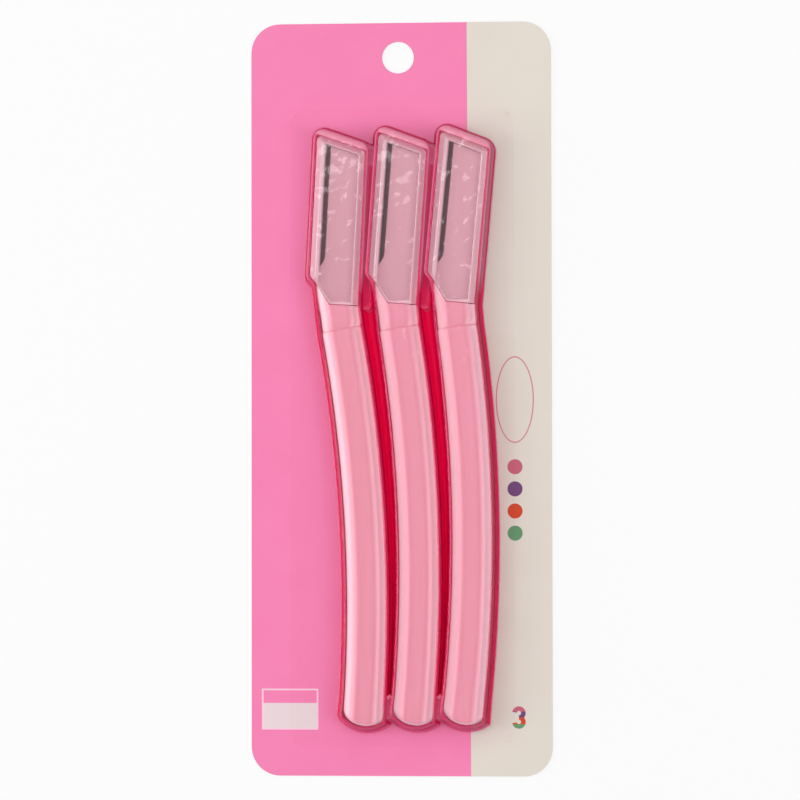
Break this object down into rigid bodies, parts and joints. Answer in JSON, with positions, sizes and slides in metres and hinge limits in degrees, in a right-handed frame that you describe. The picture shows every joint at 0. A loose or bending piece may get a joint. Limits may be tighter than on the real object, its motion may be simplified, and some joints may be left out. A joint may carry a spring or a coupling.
{
  "type": "carded eyebrow razor set",
  "caption": "Straight eyebrow razors with clear slide-on caps, held side by side in a clear blister that peels off a printed hanging card.",
  "frame": {"origin": "middle of the card's back face, the lowest point of the bounding box", "axes": "+Y along the card towards its hang hole, +Z out of the printed face through the razors, +X to the right as the printed face is seen"},
  "size_m": [0.076, 0.19, 0.0068],
  "materials": {
    "printed_card": "satin",
    "clear_film": "gloss",
    "pearl_plastic": "satin",
    "blade_steel": "satin",
    "clear_cap": "gloss"
  },
  "bodies": {
    "pack": {"card": "printed_card", "razor_1_handle": "pearl_plastic", "razor_1_blade_carrier": "pearl_plastic", "razor_1_blade": "blade_steel", "razor_1_blade_cover": "pearl_plastic", "razor_2_handle": "pearl_plastic", "razor_2_blade_carrier": "pearl_plastic", "razor_2_blade": "blade_steel", "razor_2_blade_cover": "pearl_plastic", "razor_3_handle": "pearl_plastic", "razor_3_blade_carrier": "pearl_plastic", "razor_3_blade": "blade_steel", "razor_3_blade_cover": "pearl_plastic"},
    "blister": {"blister": "clear_film"},
    "cap_1": {"razor_1_cap": "clear_cap"},
    "cap_2": {"razor_2_cap": "clear_cap"},
    "cap_3": {"razor_3_cap": "clear_cap"}
  },
  "joints": [
    {"name": "blister_peel", "type": "hinge", "parent": "pack", "child": "blister", "pos_m": [0, -0.08738, 0.0009], "axis": [1, 0, 0], "range_deg": [0, 120]},
    {"name": "cap_1_pull", "type": "slide", "parent": "pack", "child": "cap_1", "axis": [0.0544, 0.9985, 0], "range_m": [0, 0.046]},
    {"name": "cap_2_pull", "type": "slide", "parent": "pack", "child": "cap_2", "axis": [0.075, 0.9972, 0], "range_m": [0, 0.046]},
    {"name": "cap_3_pull", "type": "slide", "parent": "pack", "child": "cap_3", "axis": [0.0955, 0.9954, 0], "range_m": [0, 0.046]}
  ],
  "couplings": [
    {"joint": "cap_1_pull", "follows": "blister_peel", "m_per_rad": 0.0219},
    {"joint": "cap_2_pull", "follows": "blister_peel", "m_per_rad": 0.0219},
    {"joint": "cap_3_pull", "follows": "blister_peel", "m_per_rad": 0.0219}
  ]
}
